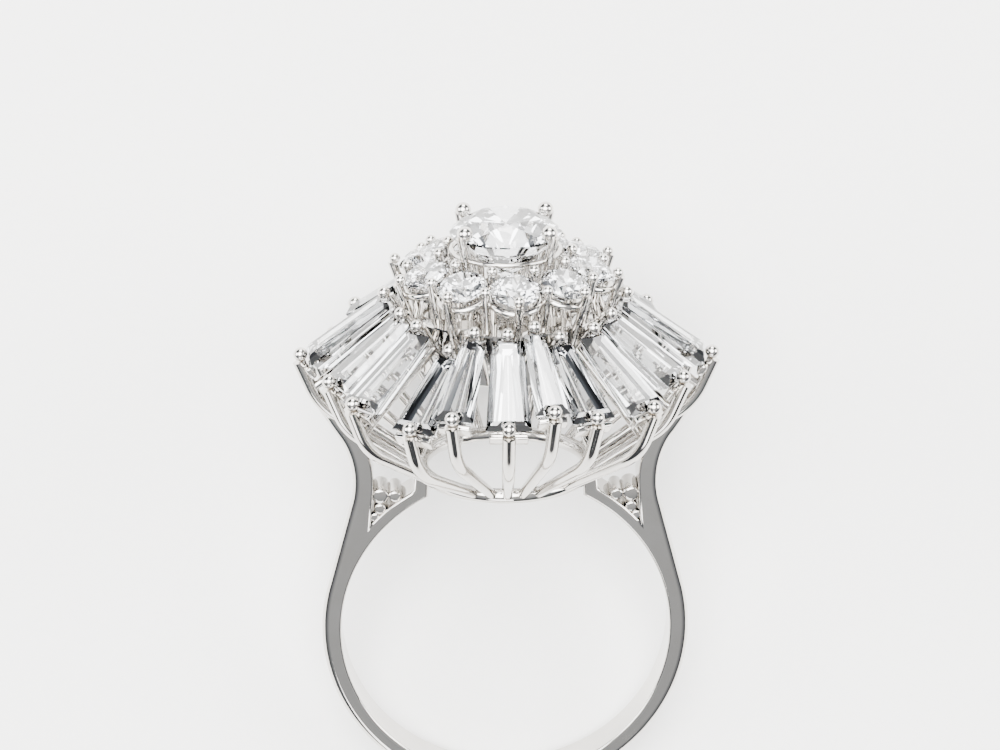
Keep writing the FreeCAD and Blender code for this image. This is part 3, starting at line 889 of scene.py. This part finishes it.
@dataclass
class Gallery:
    """The drum and pierced plate that carry the cluster."""

    radius: float = 5.0
    wall: float = 0.5
    bottom: float = 14.9
    top: float = 17.5
    plate: float = 0.45
    opening: float = 1.8
    holes: int = SMALL_STONES
    hole_reach: float = 3.7
    hole_radius: float = 0.75
    turn: float = SMALL_STONES_TURN
    edge: float = 0.06
    steps: int = 120
    crease: float = 35.0

    def build(self, metal: bpy.types.Material) -> bpy.types.Object:
        """Builds the turned body and pierces its plate.

        Args:
            metal: the metal's material.

        Returns:
            The gallery.
        """
        edge = self.edge
        inner = self.radius - self.wall
        under = self.top - self.plate
        section = [
            (self.radius, self.bottom + edge), (self.radius, self.top - edge),
            (self.radius - edge, self.top), (self.opening + edge, self.top),
            (self.opening, self.top - edge), (self.opening, under + edge),
            (self.opening + edge, under), (inner, under), (inner, self.bottom + edge),
            (inner + edge, self.bottom), (self.radius - edge, self.bottom),
        ]
        form = bmesh.new()
        rings = []
        for k in range(self.steps):
            angle = 2 * math.pi * k / self.steps
            rings.append([form.verts.new((r * math.cos(angle), r * math.sin(angle), z))
                          for r, z in section])
        for k in range(self.steps):
            here, there = rings[k], rings[(k + 1) % self.steps]
            for j in range(len(section)):
                after = (j + 1) % len(section)
                form.faces.new((here[j], there[j], there[after], here[after]))
        bmesh.ops.recalc_face_normals(form, faces=form.faces)
        piece = to_piece(form, "gallery")
        TreeMaker.apply(piece, piercing_tree(), {
            "Holes": self.holes, "Hole Reach": self.hole_reach, "Hole Radius": self.hole_radius,
            "Turn": math.radians(self.turn - 90), "Height": self.top - self.plate / 2,
            "Material": metal})
        for face in piece.data.polygons:
            face.use_smooth = True
        piece.data.set_sharp_from_angle(angle=math.radians(self.crease))
        return lay_down(piece, Slot.METAL, "mount")


@dataclass
class Cluster:
    """The seats and claws of the small brilliants, and the claws of the centre stone."""

    stones: int = SMALL_STONES
    turn: float = SMALL_STONES_TURN
    stone_radius: float = 1.23
    reach: float = 4.3
    height: float = 19.65
    tilt: float = 20.0
    seat_radius: float = 1.2
    seat_wire: float = 0.2
    seat_depth: float = 0.55
    claw: float = 0.23
    claw_taper: float = 0.92
    claw_above: float = 0.25
    bead: float = 0.28
    bead_inset: float = 0.2
    bead_lift: float = 0.09
    bead_flat: float = 0.95
    shared_above: float = 0.2
    outer_shift: float = 0.06
    outer_foot: float = 4.4
    inner_foot: float = 3.0
    centre_radius: float = 2.8
    centre_height: float = 21.3
    centre_claw: float = 0.24
    centre_taper: float = 0.9
    centre_above: float = 0.4
    centre_lean: float = 15.0
    centre_bead: float = 0.4
    centre_bead_inset: float = 0.3
    centre_bead_lift: float = 0.13
    centre_bearings: tuple[float, ...] = (45.0, 135.0, 225.0, 315.0)

    def seats(self) -> list[tuple[float, Matrix]]:
        """The bearing and the frame of each small brilliant."""
        bearings = [self.turn + 360 / self.stones * k for k in range(self.stones)]
        return [(angle, seat(angle, self.reach, self.height, self.tilt)) for angle in bearings]

    def build(self, metal: bpy.types.Material, tree: bpy.types.NodeTree) -> list[bpy.types.Object]:
        """Builds both sets of claws with the wire tree, and the seat rings.

        Args:
            metal: the metal's material.
            tree: the wire tree.

        Returns:
            The three pieces.
        """
        values = {"Material": metal}
        return [self.seat_rings(metal), self.small_claws().sweep("cluster_claws", tree, values),
                self.centre_claws().sweep("centre_claws", tree, values)]

    def seat_rings(self, metal: bpy.types.Material) -> bpy.types.Object:
        """Builds the ring of wire that each small brilliant sits in.

        Args:
            metal: the metal's material.

        Returns:
            The rings as one piece.
        """
        one = link_object("seat_ring", bpy.data.meshes.new("seat_ring"))
        TreeMaker.apply(one, ring_tree(), {
            "Ring Radius": self.seat_radius, "Wire Radius": self.seat_wire,
            "Height": -self.seat_depth, "Steps": 56, "Sides": 18, "Material": metal})
        form = bmesh.new()
        for _, place in self.seats():
            copy = one.data.copy()
            copy.transform(place)
            form.from_mesh(copy)
            bpy.data.meshes.remove(copy)
        form.to_mesh(one.data)
        form.free()
        one.name = "seat_rings"
        return lay_down(one, Slot.METAL, "mount")

    def small_claws(self) -> Skeleton:
        """Draws the claws that hold the small brilliants.

        Returns:
            One claw outside each stone, and two in each gap that its neighbours share.
        """
        lines = Skeleton()
        off = self.stone_radius + STONE_GAP + self.claw
        half_pitch = 180 / self.stones
        half_chord = self.reach * math.sin(math.radians(half_pitch))
        middle = self.reach * math.cos(math.radians(half_pitch))
        spread = math.sqrt(off ** 2 - half_chord ** 2)
        fall = math.tan(math.radians(self.tilt))
        radii = (self.claw * self.claw_taper, self.claw)
        bead = bead_axes(self.bead, self.bead_flat)
        gap_claws = ((middle + spread + self.outer_shift, self.outer_foot),
                     (middle - spread, self.inner_foot))
        for bearing, place in self.seats():
            up = table_direction(place)
            top = place @ Vector((off, 0, self.claw_above))
            lines.wire((to_drum(top, -up), top), radii)
            tip = place @ Vector((off - self.bead_inset, 0, self.bead + self.bead_lift))
            lines.bead(tip, up, bead)
            shared = bearing + half_pitch
            for reach, foot_reach in gap_claws:
                foot = polar(shared, foot_reach, PLATE_MIDDLE)
                peak = polar(shared, reach, self.height - (reach - self.reach) * fall)
                lines.wire((foot, peak + Vector((0, 0, self.shared_above))), radii)
                lines.bead(peak + Vector((0, 0, self.bead)), up, bead)
        return lines

    def centre_claws(self) -> Skeleton:
        """Draws the claws of the centre stone.

        Returns:
            One claw at each of its bearings.
        """
        lines = Skeleton()
        lean = math.tan(math.radians(self.centre_lean))
        top_height = self.centre_height + self.centre_above
        clear = self.centre_radius + STONE_GAP + self.centre_claw * math.hypot(1, lean)
        reach = clear + (top_height - self.centre_height) * lean
        foot_reach = reach - (top_height - PLATE_MIDDLE) * lean
        tip_reach = reach - self.centre_bead_inset
        tip_height = self.centre_height + self.centre_bead + self.centre_bead_lift
        for bearing in self.centre_bearings:
            foot = polar(bearing, foot_reach, PLATE_MIDDLE)
            lines.wire((foot, polar(bearing, reach, top_height)),
                       (self.centre_claw * self.centre_taper, self.centre_claw))
            lines.bead(polar(bearing, tip_reach, tip_height), Vector((0, 0, 1)),
                       bead_axes(self.centre_bead, self.bead_flat))
        return lines


@dataclass
class Stones:
    """The cut stones, which keep the part's own flat facets."""

    metal_node: str = "mount"

    def names(self) -> list[str]:
        """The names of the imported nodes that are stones."""
        return [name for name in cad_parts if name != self.metal_node]

    def dress(self, diamond: bpy.types.Material) -> None:
        """Gives every stone its material.

        Args:
            diamond: the stones' material.
        """
        for name in self.names():
            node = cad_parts[name]
            node.data.materials.clear()
            node.data.materials.append(diamond)
            LOG.info("%s dressed as %s", name, Slot.STONE.value)


@dataclass
class Studio:
    """The pale card, the soft lights and the camera."""

    camera_mm: tuple[float, float, float] = (-4.757, 4.878, 153.842)
    aim_mm: tuple[float, float, float] = (-0.255, 6.643, 8.0)
    roll: float = 0.58
    lens_mm: float = 103.14
    card_mm: float = 1200.0
    room: tuple[tuple[float, str], ...] = (
        # sine of the height above the horizon, colour
        (0.0, "4A4D52"), (0.2, "63666B"), (0.5, "9EA1A6"), (0.75, "E2E4E6"), (1.0, "FFFFFF"),
    )
    lights: tuple[tuple[str, tuple[float, float, float], float, float], ...] = (
        # name, place in mm, size in mm, watts
        ("overhead", (-60.0, 60.0, 430.0), 400.0, 8.5),
        ("behind_head", (20.0, 420.0, 190.0), 220.0, 2.8),
        ("front", (-40.0, -380.0, 175.0), 180.0, 0.8),
        ("side", (330.0, 60.0, 190.0), 200.0, 1.9),
        ("far_side", (-330.0, 40.0, 180.0), 200.0, 1.7),
    )

    def build(self) -> None:
        """Builds the card, the world, the lights and the camera."""
        self.lay_card()
        bpy.context.scene.world = self.light_room()
        for name, place, size, watts in self.lights:
            self.hang_light(name, Vector(place) / 1000, size / 1000, watts)
        self.set_camera()

    def light_room(self) -> bpy.types.World:
        """Builds the soft room that the metal mirrors.

        Returns:
            A world that is white overhead and greyer towards the walls.
        """
        world = bpy.data.worlds.new("soft_room")
        world.use_nodes = True
        tree = world.node_tree
        tree.nodes.clear()
        place = add_node(tree, "ShaderNodeTexCoord")
        parts = add_node(tree, "ShaderNodeSeparateXYZ", inputs={
            "Vector": place.outputs["Generated"]})
        shade = add_node(tree, "ShaderNodeValToRGB", inputs={"Fac": parts.outputs["Z"]})
        ramp = shade.color_ramp
        for end in (0, -1):
            height, colour = self.room[end]
            ramp.elements[end].position = height
            ramp.elements[end].color = linear(colour)
        for height, colour in self.room[1:-1]:
            ramp.elements.new(height).color = linear(colour)
        back = add_node(tree, "ShaderNodeBackground", inputs={
            "Color": shade.outputs["Color"], "Strength": 1.0})
        add_node(tree, "ShaderNodeOutputWorld", inputs={"Surface": back.outputs["Background"]})
        return world

    def lay_card(self) -> None:
        """Lays the pale card under the ring."""
        half = self.card_mm / 2000
        mesh = bpy.data.meshes.new("card")
        corners = [(-half, -half, 0), (half, -half, 0), (half, half, 0), (-half, half, 0)]
        mesh.from_pydata(corners, [], [(0, 1, 2, 3)])
        card = link_object("card", mesh)
        card.data.materials.append(PaleCard().build())

    def hang_light(self, name: str, place: Vector, size: float, watts: float) -> None:
        """Hangs one soft square light that faces the ring.

        Args:
            name: the light's name.
            place: where it hangs, in metres.
            size: its side, in metres.
            watts: its power.
        """
        lamp = bpy.data.lights.new(name, "AREA")
        lamp.energy = watts
        lamp.size = size
        holder = bpy.data.objects.new(name, lamp)
        holder.location = place
        holder.rotation_euler = (-place).to_track_quat("-Z", "Y").to_euler()
        bpy.context.scene.collection.objects.link(holder)

    def set_camera(self) -> None:
        """Sets the camera above the resting ring, at the angle of the photograph to it."""
        eye = bpy.data.cameras.new("camera")
        eye.lens = self.lens_mm
        eye.sensor_width = 36.0
        eye.clip_start = 0.01
        eye.clip_end = 10.0
        holder = bpy.data.objects.new("camera", eye)
        place, aim = Vector(self.camera_mm), Vector(self.aim_mm)
        back = (place - aim).normalized()
        roll = math.radians(self.roll)
        right = Vector((math.cos(roll), -math.sin(roll), 0))
        up = back.cross(right).normalized()
        right = up.cross(back).normalized()
        turn = Matrix((right, up, back)).transposed().to_4x4()
        holder.matrix_world = Matrix.Translation(place / 1000) @ turn
        bpy.context.scene.collection.objects.link(holder)
        bpy.context.scene.camera = holder


def main() -> None:
    """Builds the ring's pieces in order, then the studio."""
    logging.basicConfig(level=logging.INFO, format="%(name)s %(message)s")
    metal = PolishedWhiteGold().build()
    diamond = CutDiamond().build()
    tree = wire_tree()
    Shank().build(metal)
    WireRings().build(metal)
    Skirt().build(metal, tree)
    Gallery().build(metal)
    Cluster().build(metal, tree)
    Stones().dress(diamond)
    Studio().build()


if __name__ == "__main__":
    main()
